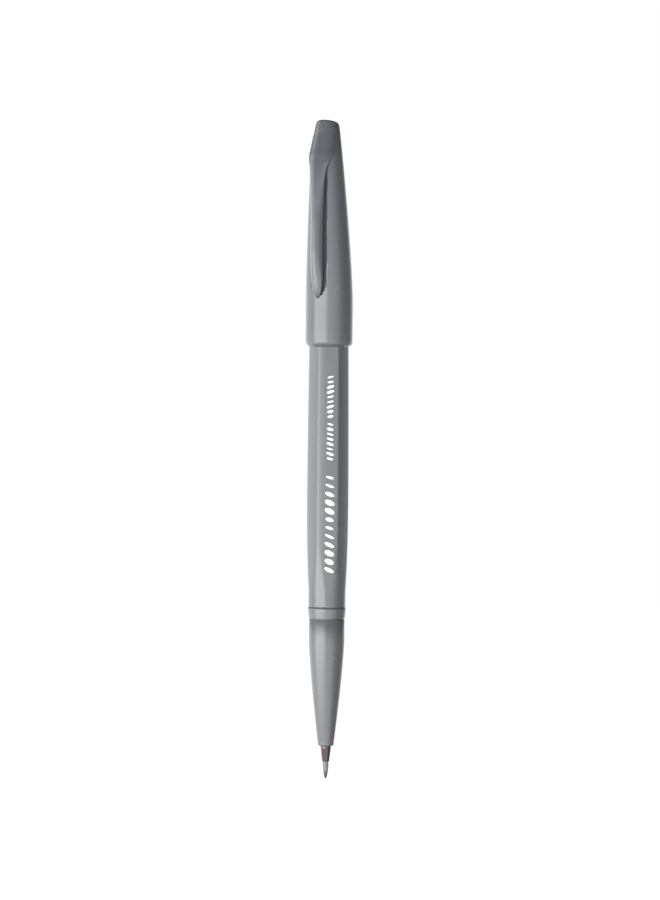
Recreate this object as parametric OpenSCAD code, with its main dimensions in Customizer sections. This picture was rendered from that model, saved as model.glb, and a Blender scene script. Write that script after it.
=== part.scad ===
/* [Pen] */
// Length of the pen without its cap, from the writing point to the tail
pen_length = 122.6; // [120:0.1:126]
// Diameter over the barrel's corners at their fullest
corner_d = 10.1; // [9.9:0.05:10.3]
// Radius of the barrel's rounded corners
corner_edge_r = 0.7; // [0.3:0.1:1.2]
// Diameter of the cylindrical land under the collar, which is also the tail's
land_d = 8.8; // [8.7:0.05:8.9]
// Diameter of the collar at its fullest
collar_d = 9.36; // [9.2:0.02:9.5]
// Height of the collar's lower edge above the writing point
collar_z = 39.2; // [38:0.1:41]
// How far the nose stands above the writing point
nose_z = 7.9; // [7.4:0.1:8.2]

/* [Nib] */
// How far the brush nib stands out of its holder
nib_out = 4.15; // [3.8:0.05:4.5]
// Diameter of the brush nib
nib_d = 1.44; // [1.3:0.02:1.48]
// Radius of the writing point
point_r = 0.38; // [0.3:0.02:0.45]

/* [Cap] */
// Length of the cap, from its mouth to the top of its crown
cap_length = 55.2; // [54:0.1:56]
// Outer diameter of the cap near its mouth
cap_d = 11.6; // [11.4:0.05:11.8]
// How far the tail goes into the posted cap
tail_in_cap = 17; // [15:0.5:18]
// Room between the cap's bore and the land or tail, each side
cap_room = 0.07; // [0.04:0.01:0.1]

/* [Clip] */
// Direction of the clip round the axis, from +X
clip_turn = 241; // [0:1:359]
// Width of the clip's arm along most of its length
clip_w = 2.7; // [2.4:0.1:3]
// Gap between the arm and the cap behind it
clip_gap = 0.5; // [0.4:0.05:0.6]

/* [Ink] */
// Diameter of the fibre rod that holds the ink
reservoir_d = 6.4; // [6:0.1:6.5]
// Length of the fibre rod
reservoir_l = 80; // [60:1:81]

/* [Hidden] */
$fn = 96;
GREY = "#8f9298";
PALE = "#d9dadc";
MAROON = "#2b1718";
FELT = "#7d7d80";
FIBRE = "#e6e3da";
FILM = "#c9d4dc";

// Barrel: a round neck at the collar, full near its middle, narrower at the shoulder of the tail
collar_h = 2.8;
barrel_z = collar_z + collar_h;
shoulder_z = pen_length - tail_in_cap - 0.1;
neck_r = 4.58;
neck_h = 3.5;
full_r = corner_d / 2;
full_z = barrel_z + 27;
shoulder_r = 4.79;
tail_r = land_d / 2;
bore_r = 3.7;
socket_r = 4.0;
socket_d = 9.1;
rib_r = 3.36;
rib_w = 0.5;

// Grip section: a slender curved cone that ends in the land under the collar
land_z = collar_z - 5.7;
nose_r = 1.98;
cone_power = 1.31;
nose_edge = 0.5;
spigot_l = 9;
grip_bore_r = 3.38;
hub_z = 14;
hub_r = 1.95;

// Nib holder: a tapered mouth piece, a stem in the nose and a flange that meets the fibre rod
stem_r = 1.3;
mouth_r = 0.925;
mouth_bore_r = 0.8;
shank_r = 0.74;
shank_room = 0.02;
holder_end = hub_z + 17;
shank_in = 4;
reservoir_z = holder_end + 0.2;
wrap_t = 0.1;

// Cap, with heights measured from its mouth
mouth_z = shoulder_z + 0.1;
cap_r = cap_d / 2;
cap_bore_r = tail_r + cap_room;
taper_u = 11;
slant_u = 48;
front_swell = 0.1;
front_top_r = 4.2;
back_slant_r = 1.75;
back_top_r = 1.2;
back_power = 1.265;
cap_sides = 64;
liner_u = 25.5;
liner_seat_r = 4;
crown_slope = 11;

// Clip: a curved shoulder on the cap and a sprung arm that turns at its root
shoulder_w = 6.6;
shoulder_round_r = 4.7;
root_r = 6.2;
root_u = 45.4;
root_knuckle_r = 0.75;
root_room = 0.07;
tip_u = 12.2;

// Radius of the grip's curved cone at a height, from the land down to the nose
function cone_r(z) = tail_r
    - (tail_r - nose_r) * pow((land_z - z) / (land_z - nose_z - 0.7), cone_power);

// Radius over the barrel's corners at a height
function corner_r(z) = z < barrel_z + neck_h ? neck_r
    : z < full_z
    ? neck_r + (full_r - neck_r) * (1 - pow((full_z - z) / (full_z - barrel_z - neck_h), 2.2))
    : full_r - (full_r - shoulder_r) * pow((z - full_z) / (shoulder_z - full_z), 1.5);

// Radius of the rounding at the barrel's corners: the whole radius in the neck, small above it
function edge_r(z) = let (t = min(1, max(0, (z - barrel_z - neck_h) / 12)))
    corner_r(z) + (corner_edge_r - corner_r(z)) * t;

// Distance from the axis to the barrel's flats at a height
function flat_r(z) = corner_r(z) * cos(30) + edge_r(z) * (1 - cos(30));

// The cap's reach on the clip's side: straight up to the slant, then inwards to the crown
function front_reach(u) = u < slant_u ? cap_r + front_swell * min(1, max(0, (u - taper_u) / 7))
    : cap_r + front_swell - (cap_r + front_swell - front_top_r) * (u - slant_u) / (cap_length - slant_u);

// The cap's reach on the side away from the clip, which tapers all the way
function back_reach(u) = u < taper_u ? cap_r
    : u < slant_u
    ? cap_r - (cap_r - back_slant_r) * pow((u - taper_u) / (slant_u - taper_u), back_power)
    : back_slant_r - (back_slant_r - back_top_r) * (u - slant_u) / (cap_length - slant_u);

// One ring of the cap's tapered part: a circle that touches both reaches
function cap_ring(u) = let (r = (front_reach(u) + back_reach(u)) / 2, off = front_reach(u) - r)
    [for (i = [0:cap_sides - 1]) let (a = 360 * (i + 0.5) / cap_sides)
        [off + (r - 0.01) * cos(a), (r - 0.01) * sin(a), u]];

// A quarter round between two points of an outline, with its centre at [cx, cz]
function quarter(cx, cz, rx, rz, a0, a1, n = 6) =
    [for (i = [0:n]) let (a = a0 + (a1 - a0) * i / n) [cx + rx * cos(a), cz + rz * sin(a)]];

module revolve(points) {
    rotate_extrude()
        polygon(points);
}

module at_clip() {
    rotate([0, 0, clip_turn])
        translate([0, 0, mouth_z])
            children();
}

// A solid of constant width across the clip's plane, from an outline of radius and height
module across_clip(points, width) {
    rotate([90, 0, 0])
        linear_extrude(height = width, center = true)
            polygon(points);
}

// Two opposite flats of the barrel, as a slab that follows their curve
module flat_pair(turn) {
    heights = [barrel_z - 1, barrel_z + neck_h, for (z = [barrel_z + 5:2.5:full_z]) z,
        for (z = [full_z + 9:9:shoulder_z - 4]) z, shoulder_z + 1];
    right = [for (z = heights) [flat_r(min(max(z, barrel_z), shoulder_z)), z]];
    left = [for (i = [len(heights) - 1:-1:0]) [-right[i][0], heights[i]]];
    rotate([0, 0, turn])
        rotate([90, 0, 0])
            linear_extrude(height = 12, center = true)
                polygon(concat(right, left));
}

module barrel_skin() {
    heights = [barrel_z, barrel_z + neck_h, for (z = [barrel_z + 5:2.5:full_z]) z,
        for (z = [full_z + 9:9:shoulder_z - 4]) z, shoulder_z];
    intersection() {
        revolve(concat([[0, barrel_z]], [for (z = heights) [corner_r(z), z]], [[0, shoulder_z]]));
        flat_pair(30);
        flat_pair(90);
        flat_pair(150);
    }
}

module barrel() {
    tail_top = pen_length - 1.1;
    color(GREY)
        difference() {
            union() {
                barrel_skin();
                translate([0, 0, shoulder_z - 2])
                    cylinder(h = tail_top - shoulder_z + 1.6, r = tail_r);
                translate([0, 0, tail_top - 0.4])
                    cylinder(h = 0.4, r1 = tail_r, r2 = tail_r - 0.3);
            }
            difference() {
                translate([0, 0, barrel_z - 1])
                    cylinder(h = pen_length, r = bore_r);
                for (i = [0:5])
                    rotate([0, 0, 60 * i])
                        translate([rib_r, -rib_w / 2, barrel_z + socket_d + 1])
                            cube([1, rib_w, 62]);
            }
            translate([0, 0, barrel_z - 1])
                cylinder(h = socket_d + 1, r = socket_r);
        }
}

module grip_section() {
    cone = [for (i = [0:12]) let (z = nose_z + 0.7 + (land_z - nose_z - 0.7) * i / 12)
        [cone_r(z), z]];
    collar = [[tail_r, collar_z - 0.12], [tail_r - 0.12, collar_z], [collar_d / 2 - 0.2, collar_z + 0.15],
        [collar_d / 2 - 0.02, collar_z + 1.7], [collar_d / 2, collar_z + 2.3],
        [collar_d / 2 - 0.1, barrel_z - 0.05], [socket_r - 0.01, barrel_z - 0.05]];
    spigot_top = barrel_z + spigot_l;
    color(GREY)
        revolve(concat(
            [[stem_r + 0.01, nose_z], [nose_r - nose_edge, nose_z]],
            quarter(nose_r - nose_edge, nose_z + nose_edge, nose_edge, nose_edge, -80, -10),
            cone, collar,
            [[socket_r - 0.01, spigot_top - 0.5], [socket_r - 0.3, spigot_top],
            [grip_bore_r, spigot_top], [grip_bore_r, reservoir_z - 0.1], [hub_r + 0.5, hub_z + 6.5],
            [hub_r, hub_z + 2], [hub_r, hub_z], [stem_r + 0.01, hub_z]]));
}

module nib_holder() {
    flange_r = 3.2;
    color(MAROON)
        difference() {
            union() {
                revolve([[0, nib_out], [mouth_r - 0.08, nib_out], [mouth_r, nib_out + 0.1],
                    [mouth_r + 0.02, nib_out + 0.5], [1.2, nib_out + 2.45], [stem_r - 0.02, nose_z - 0.6],
                    [stem_r, nose_z - 0.3], [stem_r, hub_z], [0, hub_z]]);
                translate([0, 0, hub_z])
                    cylinder(h = 1.6, r = hub_r - 0.05);
                translate([0, 0, hub_z + 1.5])
                    cylinder(h = holder_end - hub_z - 1.5, r = 1.5);
                translate([0, 0, holder_end - 1])
                    cylinder(h = 1, r = flange_r);
            }
            translate([0, 0, nib_out - 1])
                cylinder(h = holder_end, r = shank_r + shank_room);
            translate([0, 0, nib_out - 1])
                cylinder(h = 2, r = mouth_bore_r);
            for (i = [0:2])
                rotate([0, 0, 120 * i])
                    translate([2.3, -0.6, holder_end - 2])
                        cube([2, 1.2, 3]);
        }
}

module nib_shank() {
    start = nib_out + nib_d / 2 + 0.08;
    color(FELT)
        translate([0, 0, start])
            cylinder(h = holder_end + shank_in - start, r = shank_r);
}

module brush_tip() {
    root_r = nib_d / 2;
    straight_z = 2.4;
    waist_r = 0.62;
    color(FELT)
        revolve(concat(
            [[0, 0]],
            quarter(0, point_r, point_r, point_r, -75, -15, 5),
            [[0.5, 1.1], [waist_r, 1.75], [root_r - 0.03, straight_z], [root_r, straight_z + 0.5]],
            quarter(0, nib_out, root_r, root_r, 0, 75, 6),
            [[0, nib_out + root_r]]));
}

module reservoir_core() {
    color(FIBRE)
        translate([0, 0, reservoir_z])
            difference() {
                cylinder(h = reservoir_l, d = reservoir_d);
                translate([0, 0, -1])
                    cylinder(h = shank_in + 1, r = shank_r + shank_room);
            }
}

module reservoir_wrap() {
    color(FILM)
        translate([0, 0, reservoir_z + 0.2])
            difference() {
                cylinder(h = reservoir_l - 0.4, r = reservoir_d / 2 + wrap_t);
                translate([0, 0, -1])
                    cylinder(h = reservoir_l + 2, d = reservoir_d);
            }
}

module tail_plug() {
    plug_r = bore_r - 0.05;
    flange_z = pen_length - 1;
    color(GREY)
        difference() {
            revolve([[0, flange_z - 7.6], [plug_r - 0.4, flange_z - 7.6], [plug_r, flange_z - 7],
                [plug_r, flange_z], [tail_r - 0.1, flange_z], [tail_r - 0.1, flange_z + 0.5],
                [tail_r - 0.5, pen_length], [0, pen_length]]);
            translate([0, 0, flange_z - 8])
                cylinder(h = 7, r = plug_r - 0.9);
        }
}

// The cap's tapered part: rings joined by flat strips, straight on the clip's side
module cap_taper() {
    step = (slant_u - taper_u) / 10;
    heights = [taper_u - 0.5, for (i = [1:10]) taper_u + step * i, slant_u + 3.5, cap_length + 0.2];
    last = len(heights) - 1;
    sides = [for (k = [0:last - 1], i = [0:cap_sides - 1]) let (j = (i + 1) % cap_sides)
        [k * cap_sides + i, (k + 1) * cap_sides + i, (k + 1) * cap_sides + j, k * cap_sides + j]];
    bottom = [for (i = [0:cap_sides - 1]) i];
    top = [for (i = [cap_sides - 1:-1:0]) last * cap_sides + i];
    polyhedron(points = [for (u = heights) each cap_ring(u)], faces = concat([bottom, top], sides));
}

// The cap's outer form: a round mouth, the taper, and the shoulder that the clip springs from
module cap_form() {
    lip = 1.5;
    translate([0, 0, mouth_z])
        revolve(concat(
            [[0, 0], [cap_r - 0.9, 0]],
            quarter(cap_r - 0.9, lip, 0.9, lip, -80, 0),
            [[cap_r, taper_u], [0, taper_u]]));
    at_clip() {
        cap_taper();
        intersection() {
            across_clip([[0, root_u - 3], [5.5, root_u - 3], [root_r, root_u],
                [root_r + root_knuckle_r, root_u], [6.7, root_u + 1], [6.1, slant_u], [4.9, slant_u + 3.9],
                [0, slant_u + 3.9]], shoulder_w);
            translate([front_reach(slant_u) - 3.85, 0, root_u - 4])
                cylinder(h = 12, r = shoulder_round_r);
        }
    }
}

// Room for the clip's arm: a flat land behind it and the seat that its root turns in
module arm_room() {
    inner = cap_r + front_swell - 0.04;
    across_clip([[inner, tip_u - 3], [inner, 39], [root_r - 1.2, root_u],
        [12, root_u], [12, tip_u - 3]], 12);
    translate([root_r, 0, root_u])
        rotate([90, 0, 0])
            cylinder(h = 12, r = root_knuckle_r + root_room, center = true);
}

module cap_shell() {
    color(GREY)
        difference() {
            cap_form();
            at_clip() {
                arm_room();
                translate([0, 0, cap_length - front_top_r * tan(crown_slope)])
                    rotate([0, -crown_slope, 0])
                        translate([-10, -10, 0])
                            cube([20, 20, 5]);
            }
            translate([0, 0, mouth_z])
                revolve([[0, -1], [cap_bore_r + 0.35, -1], [cap_bore_r + 0.35, 0], [cap_bore_r, 0.4],
                    [cap_bore_r, tail_in_cap + 1], [liner_seat_r, liner_u - 0.5],
                    [liner_seat_r, liner_u + 2.5], [3.15, liner_u + 2.5], [1.75, liner_u + 17],
                    [0, liner_u + 17]]);
        }
}

module inner_cap() {
    color(PALE)
        translate([0, 0, mouth_z + liner_u])
            revolve([[2.95, 0], [liner_seat_r - 0.02, 0], [liner_seat_r - 0.02, 2.4], [3.1, 2.4],
                [1.7, 16.8], [0, 16.8], [0, 16.1], [1.05, 16.1], [1.6, 11], [1.65, 7], [2.2, 5.5],
                [2.5, 3.5], [2.55, 0.6]]);
}

module clip() {
    inner = cap_r + front_swell + clip_gap;
    arm = [[6, tip_u + 0.5], [6.1, tip_u], [6.4, tip_u], [6.75, tip_u + 1.2], [7.4, tip_u + 4.2],
        [7.9, tip_u + 8.2], [8.1, tip_u + 12], [8.1, tip_u + 17], [7.95, tip_u + 22.5],
        [7.65, tip_u + 27.5], [7.3, tip_u + 31], [root_r + root_knuckle_r, root_u],
        [root_r - root_knuckle_r, root_u], [5.95, root_u - 3], [inner - 0.15, 39], [inner, 30],
        [inner, 22], [6.15, 16]];
    half = clip_w / 2;
    plan = [[0.6, tip_u], [half - 0.3, tip_u + 1.2], [half, tip_u + 4], [half, tip_u + 16],
        [half + 0.25, root_u - 9.5], [half + 0.4, root_u - 4.5], [half + 0.6, root_u - 2.3],
        [2.6, root_u - 0.8], [3.1, root_u + 0.2]];
    left = [for (i = [len(plan) - 1:-1:0]) [-plan[i][0], plan[i][1]]];
    color(GREY)
        at_clip() {
            intersection() {
                across_clip(arm, 8);
                rotate([90, 0, 90])
                    linear_extrude(height = 12)
                        polygon(concat(plan, left));
            }
            translate([root_r, 0, root_u])
                rotate([90, 0, 0])
                    cylinder(h = shoulder_w - 0.8, r = root_knuckle_r, center = true);
        }
}

barrel();
grip_section();
nib_holder();
nib_shank();
brush_tip();
reservoir_core();
reservoir_wrap();
tail_plug();
cap_shell();
inner_cap();
clip();
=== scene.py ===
# %% [markdown]
# # A grey calligraphy marker with its cap posted on the tail
#
# The pen is a slim moulded body: a six-sided barrel, a tapered grip, a small dark holder with a brush nib,
# and a tapered cap with a clip, pushed on to the tail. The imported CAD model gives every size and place.
# Each cell below makes one piece or one finish, first says what it is on the real pen, and prints what it
# made. All lengths are in millimetres until the moment a mesh is finished, because pen parts are drawn so.

# %% Load the frame
import math

import bmesh
import bpy
from mathutils import Matrix, Vector


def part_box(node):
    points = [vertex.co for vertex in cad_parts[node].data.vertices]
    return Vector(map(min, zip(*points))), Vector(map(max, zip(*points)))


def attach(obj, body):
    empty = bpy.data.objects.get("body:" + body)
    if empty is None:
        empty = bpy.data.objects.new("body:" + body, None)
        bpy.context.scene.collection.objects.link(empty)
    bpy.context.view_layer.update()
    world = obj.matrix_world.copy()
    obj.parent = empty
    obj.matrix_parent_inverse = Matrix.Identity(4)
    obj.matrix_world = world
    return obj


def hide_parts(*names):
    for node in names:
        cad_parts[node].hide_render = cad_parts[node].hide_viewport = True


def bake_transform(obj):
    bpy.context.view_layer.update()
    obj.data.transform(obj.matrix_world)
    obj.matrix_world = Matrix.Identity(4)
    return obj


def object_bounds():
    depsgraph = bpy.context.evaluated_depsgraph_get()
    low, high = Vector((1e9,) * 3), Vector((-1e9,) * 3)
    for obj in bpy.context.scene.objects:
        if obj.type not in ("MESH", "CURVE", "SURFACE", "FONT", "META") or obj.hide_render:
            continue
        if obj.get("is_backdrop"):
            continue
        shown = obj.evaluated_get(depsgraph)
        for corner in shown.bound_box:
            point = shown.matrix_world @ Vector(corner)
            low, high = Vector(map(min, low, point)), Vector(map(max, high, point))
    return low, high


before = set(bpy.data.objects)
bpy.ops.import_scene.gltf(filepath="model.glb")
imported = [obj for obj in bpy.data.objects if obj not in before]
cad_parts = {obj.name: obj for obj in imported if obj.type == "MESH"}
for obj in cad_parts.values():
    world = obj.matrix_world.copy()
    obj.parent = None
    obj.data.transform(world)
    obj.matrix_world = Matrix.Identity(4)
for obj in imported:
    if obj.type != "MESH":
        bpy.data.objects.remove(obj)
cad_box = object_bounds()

MM = 0.001
scene = bpy.context.scene


def box_mm(node):
    """Lowest and highest corner of a CAD node, in millimetres."""
    low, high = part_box(node)
    return low / MM, high / MM


print("CAD box, mm:", [round(v / MM, 2) for corner in cad_box for v in corner])

# %% [markdown]
# ## The main heights
#
# On the real pen the heights follow from each other: the collar sits where the barrel starts, the cap's
# mouth stops on the barrel's shoulder, and the nib stands out of its holder. Reading them from the CAD
# nodes keeps every new piece on its CAD solid, so nothing is placed by eye.

# %% Heights and radii from the frame
barrel_low, barrel_high = box_mm("barrel")
grip_low, grip_high = box_mm("grip_section")
cap_low, cap_high = box_mm("cap_shell")
holder_low, holder_high = box_mm("nib_holder")
shank_low, shank_high = box_mm("nib_shank")
plug_low, plug_high = box_mm("tail_plug")

collar_top = barrel_low.z
tail_top = barrel_high.z
pen_top = plug_high.z
cap_mouth = cap_low.z
shoulder_z = cap_mouth - 0.01
nose_z = grip_low.z
full_r = barrel_high.x
cap_r = cap_high.x
tail_r = full_r - 0.65
print(f"collar top {collar_top:.2f}, shoulder {shoulder_z:.2f}, cap mouth {cap_mouth:.2f}, top {cap_high.z:.2f}")
print(f"barrel radius {full_r:.2f}, tail radius {tail_r:.2f}, cap radius {cap_r:.2f}")

# %% [markdown]
# ## Helpers for turned and lofted pieces
#
# Most of the pen comes out of round moulds, so a piece is an outline spun about the axis, or a stack of
# rings joined by quads. Blender has a Spin tool and a Screw modifier for this, but drawing the rings in a
# bmesh keeps full control: a ring can be off centre, flattened or tilted, and a ring of one point is a
# closed pole. Doubles are merged before the normals are turned outwards.


# %% Mesh helpers
def arc(centre_r, centre_z, radius_r, radius_z, start, stop, steps=6):
    """Points of a rounded edge in an outline of (radius, height)."""
    angles = [math.radians(start + (stop - start) * i / steps) for i in range(steps + 1)]
    return [(centre_r + radius_r * math.cos(a), centre_z + radius_z * math.sin(a)) for a in angles]


def circle(radius, height, sides, off=0.0):
    """A ring of points about the axis, or one point where the radius is nothing."""
    if radius < 1e-4:
        return [(off, 0.0, height)]
    turns = [2 * math.pi * i / sides for i in range(sides)]
    return [(off + radius * math.cos(t), radius * math.sin(t), height) for t in turns]


def loft(rings, loop=False):
    """Joins rings one after another. With loop, the last ring meets the first, as in a hollow sleeve."""
    bm = bmesh.new()
    rows = [[bm.verts.new(point) for point in ring] for ring in rings]
    pairs = list(zip(rows, rows[1:]))
    if loop:
        pairs.append((rows[-1], rows[0]))
    for low, high in pairs:
        count = max(len(low), len(high))
        for i in range(count):
            j = (i + 1) % count
            corners = [low[i % len(low)], low[j % len(low)], high[j % len(high)], high[i % len(high)]]
            face = [c for k, c in enumerate(corners) if c not in corners[:k]]
            if len(face) > 2:
                bm.faces.new(face)
    return bm


def lathe(outline, sides, loop=False):
    """Spins an outline of (radius, height) about the pen's axis."""
    return loft([circle(r, z, sides) for r, z in outline], loop)


def make_piece(name, bm, crisp=32):
    """Closes a bmesh drawn in millimetres into an object in metres, smooth but for edges over an angle."""
    bmesh.ops.remove_doubles(bm, verts=bm.verts, dist=0.0005)
    bmesh.ops.scale(bm, vec=(MM, MM, MM), verts=bm.verts)
    bmesh.ops.recalc_face_normals(bm, faces=bm.faces)
    mesh = bpy.data.meshes.new(name)
    bm.to_mesh(mesh)
    bm.free()
    mesh.shade_smooth()
    mesh.set_sharp_from_angle(angle=math.radians(crisp))
    piece = bpy.data.objects.new(name, mesh)
    scene.collection.objects.link(piece)
    print(f"{name}: {len(mesh.vertices)} points, {len(mesh.polygons)} faces")
    return piece


# %% [markdown]
# ## Helpers for colours and nodes
#
# A maker's colour is written as a hex value, which is in sRGB, while shaders work in linear light, so one
# function turns it. One more function adds a node, sets its options and links its inputs, and is used for
# materials and for Geometry Nodes alike. Noise is asked for by the real size of its grains.


# %% Colour and node helpers
def linear(hex_colour):
    """An sRGB hex colour as linear RGBA."""
    values = [int(hex_colour[i:i + 2], 16) / 255 for i in (1, 3, 5)]
    return [v / 12.92 if v <= 0.04045 else ((v + 0.055) / 1.055) ** 2.4 for v in values] + [1.0]


def add_node(tree, kind, inputs=None, **options):
    """Adds a node. An input is a value, or the socket that is linked to it."""
    node = tree.nodes.new(kind)
    for option, value in options.items():
        setattr(node, option, value)
    for key, value in (inputs or {}).items():
        if isinstance(value, bpy.types.NodeSocket):
            tree.links.new(value, node.inputs[key])
        else:
            node.inputs[key].default_value = value
    return node


def new_material(name, **shader_values):
    """A material with one Principled shader, whose constant values are set on the shader's own sockets."""
    material = bpy.data.materials.new(name)
    material.use_nodes = True
    tree = material.node_tree
    shader = tree.nodes["Principled BSDF"]
    for key, value in shader_values.items():
        shader.inputs[key.replace("_", " ")].default_value = value
    return material, tree, shader


def scaled_noise(tree, across, lengthwise, detail, **more):
    """Noise on Object coordinates whose grains have a real size in millimetres, across the pen and along it."""
    place = add_node(tree, "ShaderNodeTexCoord")
    size = (1 / (across * MM), 1 / (across * MM), 1 / (lengthwise * MM))
    scaled = add_node(tree, "ShaderNodeMapping", {"Vector": place.outputs["Object"], "Scale": size})
    inputs = dict(more, Vector=scaled.outputs["Vector"], Scale=1.0, Detail=detail)
    return add_node(tree, "ShaderNodeTexNoise", inputs).outputs["Fac"]


def set_stops(ramp, stops):
    """Gives a colour ramp its stops: a list of (position, colour) in rising order."""
    for position, colour in stops[1:-1]:
        ramp.elements.new(position)
    for stop, (position, colour) in zip(ramp.elements, stops):
        stop.position = position
        stop.color = colour


def drive(tree, shader, sockets):
    """Links each socket to the shader's input of that name."""
    for key, socket in sockets.items():
        tree.links.new(socket, shader.inputs[key])


# %% [markdown]
# ## Grey moulded polypropylene
#
# Barrel, grip, cap and clip are one grey pigmented polypropylene from polished moulds. The eye reads it as
# plastic from three things: a soft, blurred reflection, a very faint waviness where the wall sank as it
# cooled, and pigment that is not quite even. A Principled shader with an IOR of 1.49 gives the reflection.
# Noise in real millimetres gives the rest: 0.35 mm grains for the mould's texture, and 3 mm clouds, drawn
# out along the pen as the melt flowed, for the pigment.


# %% Grey plastic
def moulded_polypropylene(name, deep, pale, roughness):
    material, tree, shader = new_material(name, IOR=1.49, Metallic=0.0)
    flow = scaled_noise(tree, 3.0, 9.0, 3.0)
    grain = scaled_noise(tree, 0.35, 0.35, 2.0)
    clouds = add_node(tree, "ShaderNodeMath", {0: flow, 1: 0.7}, operation="MULTIPLY")
    specks = add_node(tree, "ShaderNodeMath", {0: grain, 1: 0.3, 2: clouds.outputs["Value"]},
                      operation="MULTIPLY_ADD")
    pigment = add_node(tree, "ShaderNodeValToRGB", {"Fac": specks.outputs["Value"]})
    set_stops(pigment.color_ramp, [(0.38, linear(deep)), (0.62, linear(pale))])
    polish = add_node(tree, "ShaderNodeMapRange", {"Value": flow, "From Min": 0.3, "From Max": 0.7,
                                                   "To Min": roughness - 0.02, "To Max": roughness + 0.03})
    skin = add_node(tree, "ShaderNodeBump", {"Height": grain, "Strength": 0.12, "Distance": 0.006 * MM})
    sink = add_node(tree, "ShaderNodeBump", {"Height": flow, "Strength": 0.3, "Distance": 0.02 * MM,
                                             "Normal": skin.outputs["Normal"]})
    drive(tree, shader, {"Base Color": pigment.outputs["Color"], "Roughness": polish.outputs["Result"],
                         "Normal": sink.outputs["Normal"]})
    return material


body_plastic = moulded_polypropylene("grey moulded polypropylene", "#47494d", "#4b4d51", 0.25)
cap_plastic = moulded_polypropylene("grey moulded polypropylene of the cap", "#46494d", "#4a4d51", 0.25)
print("grey plastics:", body_plastic.name, "and", cap_plastic.name)

# %% [markdown]
# ## Glossy maroon-black acetal
#
# The nib holder is a tiny hard part, moulded in acetal so that it grips the nib. It is nearly black with a
# red cast, and polished enough to show a sharp highlight, so its roughness is low and its colour is dark.
# A slight swirl of pigment keeps it from looking painted.


# %% Holder plastic
def glossy_acetal():
    material, tree, shader = new_material("glossy maroon acetal", IOR=1.48, Metallic=0.0)
    swirl = scaled_noise(tree, 0.8, 1.6, 2.0)
    pigment = add_node(tree, "ShaderNodeValToRGB", {"Fac": swirl})
    set_stops(pigment.color_ramp, [(0.35, linear("#1c0b0d")), (0.65, linear("#2e1416"))])
    gloss = add_node(tree, "ShaderNodeMapRange", {"Value": swirl, "To Min": 0.05, "To Max": 0.1})
    drive(tree, shader, {"Base Color": pigment.outputs["Color"], "Roughness": gloss.outputs["Result"]})
    return material


holder_plastic = glossy_acetal()
print("holder:", holder_plastic.name)

# %% [markdown]
# ## Bonded fibre: the nib and the ink store
#
# The brush nib is a rod of fine fibres bonded side by side and ground to a point, grey from the ink and
# nearly black and wet over its last two millimetres. The ink store is a looser bundle of white
# fibres, tinted by the ink that it holds. Both are long grains that run with the pen: noise stretched
# along the axis. Real fibres are about 0.02 mm thick, too fine to show, so they are drawn 0.07 mm wide.


# %% Fibres
def bonded_fibre(name, dry, wet, wet_up_to, strand, roughness):
    material, tree, shader = new_material(name, IOR=1.46, Metallic=0.0, Sheen_Weight=0.15, Sheen_Roughness=0.5)
    strands = scaled_noise(tree, strand, strand * 25, 3.0, Roughness=0.6)
    place = add_node(tree, "ShaderNodeTexCoord")
    height = add_node(tree, "ShaderNodeSeparateXYZ", {0: place.outputs["Object"]})
    ragged = add_node(tree, "ShaderNodeMath", {0: strands, 1: 0.6 * MM, 2: height.outputs["Z"]},
                      operation="MULTIPLY_ADD")
    dryness = add_node(tree, "ShaderNodeMapRange", {"Value": ragged.outputs["Value"],
                                                    "From Min": wet_up_to * MM, "From Max": (wet_up_to + 1.2) * MM})
    tone = add_node(tree, "ShaderNodeMix", {0: dryness.outputs["Result"], 6: linear(wet), 7: linear(dry)},
                    data_type="RGBA")
    lines = add_node(tree, "ShaderNodeMapRange", {"Value": strands, "From Min": 0.3, "From Max": 0.7,
                                                  "To Min": 0.72, "To Max": 1.1})
    shade = add_node(tree, "ShaderNodeVectorMath", {0: tone.outputs[2], 1: lines.outputs["Result"]},
                     operation="MULTIPLY")
    shine = add_node(tree, "ShaderNodeMapRange", {"Value": dryness.outputs["Result"], "To Min": 0.18,
                                                  "To Max": roughness})
    ridges = add_node(tree, "ShaderNodeBump", {"Height": strands, "Strength": 0.7, "Distance": 0.03 * MM})
    drive(tree, shader, {"Base Color": shade.outputs["Vector"], "Roughness": shine.outputs["Result"],
                         "Normal": ridges.outputs["Normal"]})
    return material


nib_fibre = bonded_fibre("bonded nylon fibre with grey ink", "#63666b", "#141517", 1.3, 0.07, 0.6)
store_fibre = bonded_fibre("bundled polyester fibre", "#c9cbcb", "#8f9397", 33.0, 0.12, 0.85)
print("fibres:", nib_fibre.name, "and", store_fibre.name)

# %% [markdown]
# ## Film, natural polyethylene and printing ink
#
# Three small finishes remain. The ink store is wrapped in a clear film, which lets light through and shows
# a soft gloss. The sealing liner in the cap is natural polyethylene: milky, a little see-through, waxy.
# The mark on the barrel is white pad-printed ink, a thin, dull, opaque film with slightly uneven cover.


# %% Film, liner and print
def clear_film():
    material, tree, shader = new_material("clear polypropylene film", IOR=1.49, Metallic=0.0,
                                          Transmission_Weight=0.75)
    creases = scaled_noise(tree, 1.2, 6.0, 4.0)
    haze = add_node(tree, "ShaderNodeMapRange", {"Value": creases, "To Min": 0.12, "To Max": 0.4})
    folds = add_node(tree, "ShaderNodeBump", {"Height": creases, "Strength": 0.4, "Distance": 0.05 * MM})
    shader.inputs["Base Color"].default_value = linear("#dfe6ea")
    drive(tree, shader, {"Roughness": haze.outputs["Result"], "Normal": folds.outputs["Normal"]})
    return material


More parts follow.
